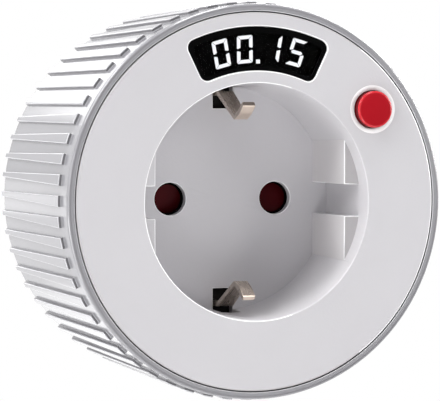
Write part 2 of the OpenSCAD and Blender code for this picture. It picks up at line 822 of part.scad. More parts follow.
// Leaf of one clip, from its root at the floor over the knee to the tip
module earth_clip(side) {
    knee = [side * (clip_gap / 2 + clip_t / 2), floor_z + clip_rise];
    root = [side * clip_root_y, floor_back_z];
    bend = root + [0, floor_t + 1.2];
    tip = knee + [side * 2.1, 4.1];
    tip_w = clip_w - 0.75;
    intersection() {
        across_x(far) polygon(strip_outline(
            concat([root, bend],
                   [knee + [side * 0.35, -1.1], knee + [side * 0.05, -0.4],
                    knee + [side * 0.05, 0.4], knee + [side * 0.4, 1.1]],
                   [tip]), clip_t));
        across_y(far) polygon([
            [-clip_w / 2, floor_back_z], [clip_w / 2, floor_back_z],
            [tip_w / 2, tip[1] - 0.2], [tip_w / 2 - 0.5, tip[1] + 0.5],
            [-tip_w / 2 + 0.5, tip[1] + 0.5], [-tip_w / 2, tip[1] - 0.2]]);
    }
}

module earth_clip_upper() upright() color("tan") earth_clip(1);

module earth_clip_lower() upright() color("tan") earth_clip(-1);

// Strip that brings the earth down to the main board
module earth_link() upright() color("silver")
    translate([(earth_in_r + earth_out_r) / 2, 0, 0])
        slab(earth_t, link_w, board_top_z, floor_back_z - earth_t);

// ---- Plug ----

module plug_pin(side) {
    tip_round = 1.6;
    head_z = boss_face_t;
    translate([side * pin_x, 0, 0]) rotate_extrude() polygon(concat(
        [[0, -pin_len]],
        arc([pin_r - tip_round, tip_round - pin_len], tip_round, 270, 360, 5),
        [[pin_r, 0], [pin_neck_r, 0], [pin_neck_r, head_z], [pin_r + 1, head_z],
         [pin_r + 1, head_z + 1.5], [pin_stub_r, head_z + 1.5],
         [pin_stub_r, board_top_z + carrier_base - slack], [0, board_top_z + carrier_base - slack]]));
}

module plug_pin_left() upright() color("silver") plug_pin(-1);

module plug_pin_right() upright() color("silver") plug_pin(1);

// Earth strip in its groove along the boss, with a tail through the back plate
module plug_earth(side) {
    y = side * strip_y;
    across_x(strip_w) polygon(strip_outline([
        [y - side * 0.05, 1.2], [y + side * 0.2, 3.5], [y + side * 0.2, boss_depth - 3.5],
        [y, boss_depth - 1.2], [y, board_z]], earth_t));
}

module plug_earth_upper() upright() color("silver") plug_earth(1);

module plug_earth_lower() upright() color("silver") plug_earth(-1);

// ---- Main board and its components ----

module main_board() upright() color("darkgreen") difference() {
    rod(board_r, board_z, board_top_z);
    for (a = post_angles) around(post_pos_r, a) rod(screw_r + slack, board_z - 1, far);
    for (side = [-1, 1])
        translate([side * pin_x, 0, 0]) {
            rod(pin_stub_r + 0.1, board_z - 1, far);
            translate([-side * contact_tail_x, 0, 0]) rod(contact_tail_r + 0.1, board_z - 1, far);
        }
}

// A component's body, centred on the board, with its upright edges cut off
module block_component(x, y, h, edge) {
    translate([0, 0, board_top_z]) linear_extrude(height = h) polygon([
        [-x / 2 + edge, -y / 2], [x / 2 - edge, -y / 2], [x / 2, -y / 2 + edge],
        [x / 2, y / 2 - edge], [x / 2 - edge, y / 2], [-x / 2 + edge, y / 2],
        [-x / 2, y / 2 - edge], [-x / 2, -y / 2 + edge]]);
}

module relay() upright() color("royalblue")
    translate([relay_x, relay_y, 0])
        block_component(relay_l, relay_w, shutter_z - relay_gap - board_top_z, 0.8);

module film_capacitor() upright() color("khaki")
    translate([film_x, film_y, 0])
        block_component(film_l, film_t, shutter_z - film_gap - board_top_z, 0.6);

module smoothing_capacitor() upright() color("midnightblue")
    translate(polar(board_r - can_d / 2 - 0.7, 32)) difference() {
        rod(can_d / 2, board_top_z, board_top_z + can_h);
        tube(far, can_d / 2 - 0.25, board_top_z + 1.2, board_top_z + 1.9);
    }

module varistor() upright() color("darkorange")
    translate(concat(polar(board_r - varistor_r - 1.05, 201), board_top_z + varistor_r))
        rotate([0, 90, 0]) cylinder(r = varistor_r, h = varistor_t, center = true);

module fuse() upright() color("burlywood")
    translate(concat(polar(board_r - fuse_r - 3.8, -27.2), board_top_z + fuse_r))
        rotate([90, 0, 0]) cylinder(r = fuse_r, h = fuse_l, center = true);

module rectifier() upright() color("dimgray")
    translate(polar(board_r - 8.8, -45.5)) block_component(rectifier_w, rectifier_w, 2.6, 0.3);

module controller_chip() upright() color("black")
    translate(polar(board_r - 5.7, 76)) block_component(chip_l, chip_w, 1.6, 0.2);

// Flat cable from the main board to the display board, with a slack bend
module ribbon_cable() upright() color("lightgray") rotate([0, 0, 95])
    across_y(ribbon_w) polygon(strip_outline([
        [ribbon_r, board_top_z], [ribbon_r, board_top_z + 5],
        [ribbon_r - ribbon_bend, board_top_z + 8.4], [ribbon_r - ribbon_bend, board_top_z + 11],
        [ribbon_r, board_top_z + 14.4], [ribbon_r, display_back_z]], ribbon_t));

front_cover();
rear_housing();
plug_boss();
setting_ring();
ring_gear();
socket_floor();
display_window();
display_digits();
display_module();
display_board();
display_screws();
start_button();
tact_switch();
tact_plunger();
encoder_body();
encoder_pinion();
shutter();
shutter_spring();
contact_carrier();
live_contact();
neutral_contact();
earth_plate();
earth_clip_upper();
earth_clip_lower();
earth_link();
main_board();
relay();
film_capacitor();
smoothing_capacitor();
varistor();
fuse();
rectifier();
controller_chip();
ribbon_cable();
plug_pin_left();
plug_pin_right();
plug_earth_upper();
plug_earth_lower();
housing_screws();
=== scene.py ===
"""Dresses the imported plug-in countdown timer. Shapes are drawn in millimetres with the
socket facing +Z and zero at the plug's contact face, and row() stands them up."""

import math

import bmesh
import bpy
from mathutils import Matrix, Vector

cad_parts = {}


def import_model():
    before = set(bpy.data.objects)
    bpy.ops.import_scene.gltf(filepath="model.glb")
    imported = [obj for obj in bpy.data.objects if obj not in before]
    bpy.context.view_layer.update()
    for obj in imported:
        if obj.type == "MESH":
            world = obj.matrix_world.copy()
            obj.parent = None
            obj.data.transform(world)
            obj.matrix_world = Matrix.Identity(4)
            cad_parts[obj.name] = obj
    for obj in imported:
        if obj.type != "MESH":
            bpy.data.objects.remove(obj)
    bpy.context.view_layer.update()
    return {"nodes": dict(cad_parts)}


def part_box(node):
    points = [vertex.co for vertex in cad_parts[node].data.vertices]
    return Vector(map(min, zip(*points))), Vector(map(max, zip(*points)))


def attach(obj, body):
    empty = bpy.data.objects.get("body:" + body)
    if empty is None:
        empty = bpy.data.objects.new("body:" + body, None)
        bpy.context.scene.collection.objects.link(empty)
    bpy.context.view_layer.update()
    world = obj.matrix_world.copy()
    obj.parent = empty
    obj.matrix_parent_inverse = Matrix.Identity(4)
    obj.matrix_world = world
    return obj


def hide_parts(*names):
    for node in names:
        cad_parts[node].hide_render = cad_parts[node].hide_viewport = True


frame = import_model()
MM = 0.001
SIDES = 288  # segments of a full circle
PHASE = 0.37  # degrees; turned shapes start here, so that their edges never run along a cutter's


def front(node):
    """Height of a node's front end in the drawing, in millimetres."""
    return round(-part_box(node)[0].y / MM, 2)


def back(node):
    """Height of a node's back end in the drawing, in millimetres."""
    return round(-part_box(node)[1].y / MM, 2)


def reach(node):
    """How far a node reaches to the right, in millimetres."""
    return round(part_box(node)[1].x / MM, 2)


# Sizes are in millimetres. Large ones are the CAD model's, apart from those that a comment names.
# Small roundings and the ribs' soft edges are this script's own.

# Cover
FACE, FACE_R, FACE_ROUND = front("front_cover"), reach("front_cover"), 0.22
COVER_BACK = FACE - 2.0
WELL_R, WELL_FLOOR_R, MOUTH_ROUND = 19.65, 19.1, 0.17
WELL_OUT_R = WELL_FLOOR_R + 2.15
SKIRT_R, SKIRT_WALL, SKIRT_BACK = 30.5, 1.3, FACE - 14.5
BLOCK_TOP = FACE - 3.5  # 0.4 higher than in the CAD model
BLOCK_X, BLOCK_TOP_X, BLOCK_SLOT, BLOCK_R, BLOCK_ROUND = 16.4, 16.7, 2.65, 20.3, 0.18
CLIP_HOLE_HALF, CLIP_HOLE_IN, CLIP_HOLE_OUT, CLIP_HOLE_TOP = 1.8, 15.4, 20.0, 4.5

# Floor plate
FLOOR = front("socket_floor")
FLOOR_BACK = FLOOR - 1.8
POCKET_R, PLATE_PLAY = 20.45, 0.05
PIN_X, PIN_HOLE_R, PIN_LEDGE, LEDGE_W = 9.5, 2.8, FLOOR - 1.4, 0.35
PLATE_HOLE_ROUND, PLATE_HOLE_OUT = 0.15, 24.0
UNDER_PLATE, BORE_TOP = FLOOR - 4, FLOOR - 1  # ends of the cutters below and in the plate

# Setting ring
RIB_H, RIB_W_FRONT, RIB_W_BACK, RIBS, RIB_TURN = 0.6, 1.8, 0.9, 60, 5.3
RING_BACK = back("setting_ring")
LIP = FACE - 0.1  # 0.2 prouder than in the CAD model
LIP_R, LIP_FLAT, LIP_ROUND, LIP_OUT_ROUND = FACE_R + 0.2, 0.5, 0.13, 0.65
SHELF = COVER_BACK - 0.3
# The ring's outer radius without its ribs, and the height at which its cone has it
RING_R, RING_R_HEIGHT = reach("setting_ring") - RIB_H, FACE - 1.0
RING_BORE, RING_CHAMFER = SKIRT_R + 0.1, 0.2
RING_BACK_R, RING_BACK_ROUND = RING_R - 0.9, 0.06
RIB_BACK, RIB_FRONT = RING_BACK + 0.4, FACE - 4.4
RIB_END, RIB_PARTS = 0.3, 8  # length of a rib's end, and stretches between its two ends
# Height of a rib across its side, as (distance from the edge in mm, share of the height)
RIB_SIDE = [(-0.2, 1.0), (-0.11, 0.985), (-0.045, 0.93), (-0.01, 0.82), (0.0, 0.7), (0.03, 0.13),
            (0.055, 0.03), (0.1, 0.0)]

# Display. The digits are a little smaller than in the CAD model.
WINDOW_IN, WINDOW_R, WINDOW_HALF, WINDOW_CORNER = WELL_OUT_R + 0.45, FACE_R - 2.3, 26.0, 1.4
WINDOW_ROUND, WINDOW_SPREAD = 0.22, 2.26  # degrees that the window's side turns per mm
OPENING_IN, OPENING_R, OPENING_HALF = WINDOW_IN + 0.6, WINDOW_R - 1.0, WINDOW_HALF - 1.3
OPENING_Z = (FACE - 3.5, FACE + 3.5)
PANE_BACK, PANE_TOP = back("display_window"), front("display_window")
# The pane's play and bevel at its two arcs in mm and at its two ends in degrees, and the bevel's height
PANE_PLAY, PANE_PLAY_TURN, PANE_BEVEL, PANE_BEVEL_TURN, PANE_BEVEL_H = 0.06, 0.12, 0.1, 0.25, 0.12
DIGIT_BACK, DIGIT_TOP = back("display_digits"), front("display_digits")
DIGIT_W, DIGIT_H, STROKE, SLANT, DIGIT_GAP, DIGIT_CUT = 2.72, 4.54, 0.58, 5.1, 0.06, 0.15
# For each digit its strokes, the middle of its cell and its turn in degrees; for the dot its middle and size
DIGITS = (("abcdef", -6.249, 24.425, 15.8), ("abcdef", -2.146, 25.164, 5.8), ("bc", 2.777, 25.377, -5.1),
          ("acdfg", 7.008, 24.706, -14.9))
DOT = (0.174, 23.195, 0.66)

# Button. The cap and its hole are slightly smaller than in the CAD model, and turned by 0.15 degrees.
BUTTON_POS_R, BUTTON_ANGLE, BUTTON_R, BUTTON_HOLE_R = 25.49, 36.85, 3.08, 3.2
BUTTON_TOP, BUTTON_FOOT = front("start_button"), FACE - 3.1
BUTTON_ROUND, BUTTON_CROWN = 0.38, 0.1
HOLE_FLARE, HOLE_FLARE_DEPTH, HOLE_FOOT = 0.9, 0.25, FACE - 3.5

# Earth clips, slightly thicker than in the CAD model. The path holds (distance from the middle, height,
# radius of the bend).
CLIP_T, CLIP_W, CLIP_TIP_W, CLIP_CORNER = 0.85, 3.0, 2.25, 0.14
CLIP_TAPER = 1.15  # the strip's whole length over the length along which it narrows
CLIP_PATH = [(18.0, FLOOR_BACK), (18.0, FLOOR_BACK + 3.0, 1.3), (13.95, 52.9, 0.62), (14.85, 55.15, 3.5),
             (16.25, 57.0)]
CLIP_TIP = [(-0.25, 0.0), (-0.08, 0.06), (0.0, 0.22)]  # (place along the strip, how much it is drawn in)


def row(x, y, z):
    """A point of the drawing in the row frame, in metres."""
    return (x * MM, -z * MM, y * MM)


def middle_of(face):
    """A face's middle in the drawing."""
    return face.center.x / MM, face.center.z / MM, -face.center.y / MM


def polar(r, degrees):
    a = math.radians(degrees)
    return (r * math.cos(a), r * math.sin(a))


def arc(centre, r, start, end, steps):
    """Points along an arc between two angles in degrees, both ends included."""
    out = []
    for i in range(steps + 1):
        x, y = polar(r, start + (end - start) * i / steps)
        out.append((centre[0] + x, centre[1] + y))
    return out


def circle(centre, r, count):
    return arc(centre, r, 0, 360 - 360 / count, count - 1)


# ---------------------------------------------------------------- meshes

# Distances in metres below which points are merged, and angles in degrees: an edge sharper than SHARP_ANGLE
# stays sharp, on a CAD node faces within FLAT_ANGLE become one, and edges above ROUND_ANGLE are rounded
SAME, NEAR, WELD, WELD_ROUNDED = 1e-8, 2e-6, 1e-6, 1.5e-6
SHARP_ANGLE, FLAT_ANGLE, ROUND_ANGLE = 32, 0.4, 35


def solid(name, verts, faces, slots=None):
    """A mesh object from points of the drawing, with outward normals."""
    mesh = bpy.data.meshes.new(name)
    mesh.from_pydata([row(*v) for v in verts], [], faces)
    if slots:
        mesh.polygons.foreach_set("material_index", slots)
    work = bmesh.new()
    work.from_mesh(mesh)
    bmesh.ops.remove_doubles(work, verts=work.verts, dist=SAME)
    bmesh.ops.dissolve_degenerate(work, edges=work.edges, dist=SAME)
    bmesh.ops.recalc_face_normals(work, faces=work.faces)
    work.to_mesh(mesh)
    work.free()
    obj = bpy.data.objects.new(name, mesh)
    bpy.context.scene.collection.objects.link(obj)
    return obj


def rounded(points, steps=5, closed=True):
    """Rounds the corners of a path. A corner is (x, y) or (x, y, radius).
    Returns the points, and for each stretch after a point whether it lies on a rounding."""
    out, tags, count = [], [], len(points)
    for i, p in enumerate(points):
        here = Vector(p[:2])
        r = p[2] if len(p) > 2 else 0
        if not r or (not closed and i in (0, count - 1)):
            out.append(tuple(here))
            tags.append(0)
            continue
        a = (Vector(points[i - 1][:2]) - here).normalized()
        b = (Vector(points[(i + 1) % count][:2]) - here).normalized()
        half = math.acos(max(-1, min(1, a.dot(b)))) / 2
        centre = here + (a + b).normalized() * (r / math.sin(half))
        first, last = here + a * (r / math.tan(half)) - centre, here + b * (r / math.tan(half)) - centre
        turn = math.atan2(first.x * last.y - first.y * last.x, first.dot(last))
        for k in range(steps + 1):
            t = turn * k / steps
            c, s = math.cos(t), math.sin(t)
            out.append((centre.x + first.x * c - first.y * s, centre.y + first.x * s + first.y * c))
            tags.append(1 if k < steps else 0)
    return out, tags


def revolve(name, profile, at=(0, 0), sides=SIDES, tags=None):
    """Turns a closed profile of (r, z) corners around the Z axis. Its roundings get slot 1. A profile that
    is rounded already comes with its tags, which are its slots."""
    if tags is None:
        profile, tags = rounded(profile)
    verts, faces, slots, m = [], [], [], len(profile)
    for i in range(sides):
        c, s = polar(1, 360 * i / sides + PHASE)
        verts += [(at[0] + r * c, at[1] + r * s, z) for r, z in profile]
    for i in range(sides):
        a, b = i * m, (i + 1) % sides * m
        for k in range(m):
            n = (k + 1) % m
            on_axis, next_on_axis = profile[k][0] < 1e-9, profile[n][0] < 1e-9
            if on_axis and next_on_axis:
                continue
            if on_axis:
                faces.append((a + k, b + n, a + n))
            elif next_on_axis:
                faces.append((a + k, b + k, a + n))
            else:
                faces.append((a + k, b + k, b + n, a + n))
            slots.append(tags[k])
    return solid(name, verts, faces, slots)


def loft(name, loops):
    """Joins loops of points, all with the same count, and closes both ends."""
    verts = [p for loop in loops for p in loop]
    m, faces = len(loops[0]), []
    for i in range(len(loops) - 1):
        for k in range(m):
            n = (k + 1) % m
            faces.append((i * m + k, i * m + n, (i + 1) * m + n, (i + 1) * m + k))
    faces.append(tuple(range(m - 1, -1, -1)))
    faces.append(tuple((len(loops) - 1) * m + k for k in range(m)))
    return solid(name, verts, faces)


def prism(name, outline, z0, z1):
    """Extrudes an outline in X and Y between two heights."""
    return loft(name, [[(x, y, z0) for x, y in outline], [(x, y, z1) for x, y in outline]])


def block(name, x0, x1, y0, y1, z0, z1):
    return prism(name, [(x0, y0), (x1, y0), (x1, y1), (x0, y1)], z0, z1)


def flared(outline, z0, radius, top=FACE, deep=None):
    """A cutter for a hole through a flat top that leaves the hole's edge rounded. outline(d) is the hole's
    outline, grown by d."""
    deep, steps = deep or radius, 5
    loops = [[(x, y, z0) for x, y in outline(0)]]
    for i in range(steps):
        t = math.radians(90 * i / steps)
        z = top - deep + deep * math.sin(t)
        loops.append([(x, y, z) for x, y in outline(radius * (1 - math.cos(t)))])
    # the last step crosses the top at a slant, and so never lies in it
    loops.append([(x, y, top + 0.004) for x, y in outline(radius * 1.01)])
    loops.append([(x, y, top + 2) for x, y in outline(radius * 1.01 + 0.1)])
    return loft("cut", loops)


def apply_modifiers(obj):
    """Bakes the modifiers into the mesh."""
    graph = bpy.context.evaluated_depsgraph_get()
    graph.update()
    old = obj.data
    obj.data = bpy.data.meshes.new_from_object(obj.evaluated_get(graph))
    obj.modifiers.clear()
    bpy.data.meshes.remove(old)


def combine(obj, others, operation):
    """Boolean of obj with each of the others, which are used up."""
    for other in others:
        m = obj.modifiers.new("bool", "BOOLEAN")
        m.operation, m.solver, m.object = operation, "EXACT", other
        apply_modifiers(obj)
        mesh = other.data
        bpy.data.objects.remove(other)
        bpy.data.meshes.remove(mesh)


def soften(obj, width, angle, where):
    """Rounds the sharp edges that lie where a test on points of the drawing says. Their faces get slot 1."""
    work = bmesh.new()
    work.from_mesh(obj.data)
    layer = work.edges.layers.float.new("bevel_weight_edge")
    for edge in work.edges:
        ends = [Vector((v.co.x, v.co.z, -v.co.y)) / MM for v in edge.verts]
        if (len(edge.link_faces) == 2 and edge.calc_face_angle_signed() > math.radians(angle)
                and all(map(where, ends))):
            edge[layer] = 1
    work.to_mesh(obj.data)
    work.free()
    m = obj.modifiers.new("bevel", "BEVEL")
    m.width, m.segments, m.limit_method, m.material = width * MM, 3, "WEIGHT", 1
    m.use_clamp_overlap = False
    apply_modifiers(obj)


def heal(obj, split=False):
    """Merges the points and drops the empty faces that a boolean or a bevel leaves, also those that show only
    once the large faces are split."""
    work = bmesh.new()
    work.from_mesh(obj.data)
    bmesh.ops.remove_doubles(work, verts=work.verts, dist=NEAR)
    bmesh.ops.dissolve_degenerate(work, edges=work.edges, dist=NEAR)
    if split:
        bmesh.ops.triangulate(work, faces=[f for f in work.faces if len(f.verts) > 4])
        bmesh.ops.dissolve_degenerate(work, edges=work.edges, dist=NEAR)
    work.to_mesh(obj.data)
    work.free()


def smooth(obj):
    """Smooth shading that stops at the sharp edges."""
    obj.data.shade_smooth()
    obj.data.set_sharp_from_angle(angle=math.radians(SHARP_ANGLE))
    m = obj.modifiers.new("normals", "WEIGHTED_NORMAL")
    m.keep_sharp, m.weight = True, 60


def finish_piece(obj, body, materials, node):
    """Gives a piece its materials and its place on a body, and lets it stand for a CAD node."""
    for m in materials[len(obj.data.materials):]:
        obj.data.materials.append(m)
    smooth(obj)
    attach(obj, body)
    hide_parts(node)


# ------------------------------------------------------------- materials

# Scales of the noise in colour, gloss and surface, in cells per metre
DRIFT, GLOSS, GRAIN = 90, 260, 2600
METAL_DRIFT, METAL_GLOSS, SCRATCHES = 300, 700, 2500
PANE_DRIFT, PANE_GLOSS, LIGHT_DRIFT = 60, 120, 900


def new_material(name):
    m = bpy.data.materials.new(name)
    m.use_nodes = True
    return m, m.node_tree, m.node_tree.nodes["Principled BSDF"]


def set_inputs(node, **values):
    """Sets a node's sockets, whose names are written with _ for a space."""
    for name, value in values.items():
        node.inputs[name.replace("_", " ")].default_value = value


def noise(tree, scale, detail, stretch=(1, 1, 1)):
    """Noise in the object's own coordinates, between 0 and 1."""
    coords = tree.nodes.new("ShaderNodeTexCoord")
    mapping = tree.nodes.new("ShaderNodeMapping")
    set_inputs(mapping, Scale=stretch)
    tex = tree.nodes.new("ShaderNodeTexNoise")
    set_inputs(tex, Scale=scale, Detail=detail, Roughness=0.55)
    tree.links.new(coords.outputs["Object"], mapping.inputs["Vector"])
    tree.links.new(mapping.outputs["Vector"], tex.inputs["Vector"])
    return tex.outputs["Fac"]


def ramp(tree, source, low, high, socket):
    """Feeds a socket with a blend of two colours that follows a noise."""
    r = tree.nodes.new("ShaderNodeValToRGB")
    r.color_ramp.elements[0].position, r.color_ramp.elements[1].position = 0.3, 0.7
    r.color_ramp.elements[0].color, r.color_ramp.elements[1].color = low, high
    tree.links.new(source, r.inputs["Fac"])
    tree.links.new(r.outputs["Color"], socket)


def shade(colour, k):
    return (colour[0] * k, colour[1] * k, colour[2] * k, 1)


def grey(level):
    return (level, level, level, 1)


def bump(tree, source, depth, shader):
    """Raises the surface by up to a depth in millimetres."""
    node = tree.nodes.new("ShaderNodeBump")
    set_inputs(node, Distance=depth * MM)
    tree.links.new(source, node.inputs["Height"])
    tree.links.new(node.outputs["Normal"], shader.inputs["Normal"])


def plastic(name, colour, rough=0.4, grain=0.012, vary=0.012, specular=0.5, ior=1.5):
    """Moulded plastic: a fine spark-eroded grain, and a faint drift of colour and gloss."""
    m, tree, bsdf = new_material(name)
    set_inputs(bsdf, Specular_IOR_Level=specular, IOR=ior)
    ramp(tree, noise(tree, DRIFT, 3), shade(colour, 1 - vary), shade(colour, 1 + vary),
         bsdf.inputs["Base Color"])
    ramp(tree, noise(tree, GLOSS, 3), grey(rough * 0.93), grey(rough * 1.07), bsdf.inputs["Roughness"])
    bump(tree, noise(tree, GRAIN, 2), grain, bsdf)
    return m


def metal(name, colour, rough=0.3, lines=(1, 1, 1), depth=0.004, vary=0.06):
    """Bare or plated metal, with fine rolling or turning lines."""
    m, tree, bsdf = new_material(name)
    set_inputs(bsdf, Metallic=1.0)
    ramp(tree, noise(tree, METAL_DRIFT, 4, lines), shade(colour, 1 - vary), shade(colour, 1 + vary),
         bsdf.inputs["Base Color"])
    ramp(tree, noise(tree, METAL_GLOSS, 5, lines), grey(rough * 0.92), grey(rough * 1.08),
         bsdf.inputs["Roughness"])
    bump(tree, noise(tree, SCRATCHES, 3, lines), depth, bsdf)
    return m


def rolled_nickel(name, colour, rough):
    """Nickel on the clips, whose lines run along the strip."""
    return metal(name, colour, rough, lines=(6, 0.3, 1), depth=0.0002, vary=0.02)


def pane_material():
    """Clear dark acrylic over the display."""
    m, tree, bsdf = new_material("window_pane")
    set_inputs(bsdf, Transmission_Weight=1.0, IOR=1.06)
    ramp(tree, noise(tree, PANE_GLOSS, 3), grey(0.02), grey(0.05), bsdf.inputs["Roughness"])
    ramp(tree, noise(tree, PANE_DRIFT, 2), (0.80, 0.80, 0.82, 1), (0.84, 0.84, 0.86, 1),
         bsdf.inputs["Base Color"])
    return m


def light_material():
    """A lit segment, a little brighter in its middle grain."""
    m, tree, bsdf = new_material("display_light")
    ramp(tree, noise(tree, LIGHT_DRIFT, 2), (0.92, 0.96, 1.0, 1), (1.0, 1.0, 1.0, 1),
         bsdf.inputs["Emission Color"])
    set_inputs(bsdf, Emission_Strength=1.05, Base_Color=grey(0.1))
    return m


# Cover, floor plate and housing
COVER = plastic("cover_plastic", (0.538, 0.527, 0.549), rough=0.42)
# Painted light: a lighter copy of the cover plastic inside the well and on the mouth's right half
WELL_PAINTED_LIGHT = plastic("cover_well_painted_light", (0.60, 0.588, 0.608), rough=0.42)
# Painted shade: a darker copy of the cover plastic on the fronts of the right guide blocks, most of the outer
# rim and the lower gap wall
COVER_PAINTED_SHADE = plastic("cover_painted_shade", (0.44, 0.425, 0.435), rough=0.5)
# Painted light: a lighter copy of the cover plastic on the guide blocks' slanted flats
BLOCK_PAINTED_LIGHT = plastic("cover_block_painted_light", (0.665, 0.645, 0.655), rough=0.42)
# Painted highlight: a near-white copy of the cover plastic on its rounded edges, the well's softened edges
# and the floor plate's hole edges
COVER_PAINTED_HIGHLIGHT = plastic("cover_painted_highlight", (0.95, 0.945, 0.955), rough=0.25, grain=0.003, ior=1.8)
FLOOR_PLASTIC = plastic("floor_plastic", (0.60, 0.588, 0.612), rough=0.42)
HOUSING = plastic("housing_plastic", (0.60, 0.60, 0.62), rough=0.42)
BOSS = plastic("boss_plastic", (0.42, 0.415, 0.43), rough=0.42)

# Setting ring
RING = plastic("ring_plastic", (0.262, 0.259, 0.276), rough=0.14, grain=0.0015, specular=0.7)
# Painted highlight: a lighter copy of the ring plastic on the ribs' rims and the lip's inner edge
RING_PAINTED_HIGHLIGHT = plastic("ring_painted_highlight", (0.55, 0.545, 0.57), rough=0.2, grain=0.002, specular=0.8)
# Painted shade: a darker copy on the lip's front band, the ribs' walls and the top of the cover's gap wall
RING_PAINTED_SHADE = plastic("ring_painted_shade", (0.18, 0.176, 0.19), rough=0.35, grain=0.002)
# Deeper painted shade: on the ribs' front end walls and the ring's wall of the gap
RING_DEEP_PAINTED_SHADE = plastic("ring_rib_end_painted_shade", (0.12, 0.118, 0.126), rough=0.4, grain=0.002, specular=0.3)

# Button and display
RED = plastic("button_red", (0.365, 0.0085, 0.0155), rough=0.25, grain=0.001, specular=0.03)
# Painted highlight: a brighter, glossier copy of the red on the cap's rounded rim
RED_PAINTED_HIGHLIGHT = plastic("button_red_painted_highlight", (0.52, 0.008, 0.018), rough=0.12, grain=0.001, specular=0.35)
# Painted shade: a dark copy of the red on the cap's side wall
RED_PAINTED_SHADE = plastic("button_red_painted_shade", (0.10, 0.001, 0.003), grain=0.001, specular=0.1)
BLACK = plastic("display_black", (0.0015, 0.0015, 0.0016), rough=0.6, specular=0.0)
PANE_RIM = plastic("window_pane_rim", (0.0016, 0.0016, 0.0017), rough=0.3, grain=0.0005, specular=0.015)
PANE, LIGHT = pane_material(), light_material()

# Metal parts
NICKEL = rolled_nickel("clip_nickel", (0.54, 0.465, 0.40), rough=0.28)
# Painted light: a bright copy of the nickel on parts of the clips' tips
NICKEL_PAINTED_LIGHT = rolled_nickel("clip_nickel_painted_light", (0.78, 0.67, 0.58), rough=0.5)
# Painted shade: a dark copy of the nickel on the upper clip's end
NICKEL_PAINTED_SHADE = rolled_nickel("clip_nickel_painted_shade", (0.26, 0.22, 0.19), rough=0.4)
PIN = metal("pin_nickel", (0.50, 0.485, 0.455), rough=0.26, lines=(1, 6, 1))
STRIP = metal("strip_nickel", (0.48, 0.465, 0.44), rough=0.28, lines=(1, 0.1, 1))
STEEL = metal("earth_steel", (0.012, 0.011, 0.011), rough=0.6)
SCREW = metal("screw_steel", (0.45, 0.45, 0.47))
SPRING = metal("spring_steel", (0.50, 0.50, 0.52), rough=0.25)
BRASS = metal("contact_brass", (0.60, 0.40, 0.13))

# Inside
GEAR = plastic("gear_plastic", (0.72, 0.70, 0.60), rough=0.35)
SWITCH = plastic("switch_grey", (0.05, 0.05, 0.055), rough=0.5)
PLUNGER = plastic("plunger_black", (0.01, 0.01, 0.01))
ENCODER = plastic("encoder_grey", (0.07, 0.075, 0.08), rough=0.5)
SHUTTER = plastic("shutter_red", (0.058, 0.002, 0.004), rough=0.35, specular=0.05)
CARRIER = plastic("carrier_cream", (0.60, 0.53, 0.36), rough=0.5)
RELAY = plastic("relay_blue", (0.01, 0.03, 0.20))
FILM = plastic("film_cream", (0.55, 0.38, 0.10), rough=0.5)
CAN = plastic("can_blue", (0.01, 0.014, 0.05), rough=0.3)
VARISTOR = plastic("varistor_orange", (0.60, 0.10, 0.01), rough=0.45)
FUSE = plastic("fuse_tan", (0.34, 0.21, 0.09), rough=0.5)
CHIP = plastic("chip_black", (0.01, 0.01, 0.012), rough=0.5)
RIBBON = plastic("ribbon_grey", (0.26, 0.26, 0.28), rough=0.5)
BOARD = plastic("board_green", (0.005, 0.06, 0.02), rough=0.35, vary=0.1)

# ----------------------------------------------------------------- cover

# Radii that tell the face's outer rim, the well's mouth and the well's wall apart
RIM_FROM, MOUTH_TO, WELL_TO = 30.9, 20.5, 20.4
# Right of these the outer rim gets a painted highlight (painted shade left of it) and the mouth no painted
# highlight; above this the gap's wall gets the darker painted shade
RIM_HIGHLIGHT_X, MOUTH_NO_HIGHLIGHT_X, GAP_SHADE_Y = 18, 6, 8


def window_outline(r_in, r_out, half, corner):
    """Outline of a sector about the top of the face, with four round corners."""
    start, end = 90 - half, 90 + half
    turn_in = math.degrees(math.asin(corner / (r_in + corner)))
    turn_out = math.degrees(math.asin(corner / (r_out - corner)))
    long, short = 40, 8
    out = arc((0, 0), r_out, start + turn_out, end - turn_out, long)
    out += arc(polar(r_out - corner, end - turn_out), corner, end - turn_out, end + 90, short)[1:]
    out += arc(polar(r_in + corner, end - turn_in), corner, end + 90, end + 180 - turn_in, short)
    out += arc((0, 0), r_in, end - turn_in, start + turn_in, long)[1:]
    out += arc(polar(r_in + corner, start + turn_in), corner, start + turn_in - 180, start - 90, short)[1:]
    out += arc(polar(r_out - corner, start + turn_out), corner, start - 90, start + turn_out, short)[:-1]
    return out


def grown_window(d):
    """The window's outline, grown by d."""
    return window_outline(WINDOW_IN - d, WINDOW_R + d, WINDOW_HALF + d * WINDOW_SPREAD, WINDOW_CORNER + d)


def button_hole(d):
    return circle(polar(BUTTON_POS_R, BUTTON_ANGLE), BUTTON_HOLE_R + d, 144)


def guide_blocks():
    """Four short blocks beside the pins, with slanted flats, that reach into the well's wall."""
    out = []
    for sx in (1, -1):
        for sy in (1, -1):
            loops = []
            for x, z in ((BLOCK_X, FLOOR + 0.001), (BLOCK_TOP_X, BLOCK_TOP)):
                first = math.degrees(math.asin(BLOCK_SLOT / BLOCK_R))
                last = math.degrees(math.acos(x / BLOCK_R))
                outline = [(x, BLOCK_SLOT)] + arc((0, 0), BLOCK_R, first, last, 12)
                loops.append([(sx * px, sy * py, z) for px, py in outline])
            out.append(loft("guide", loops))
    return out


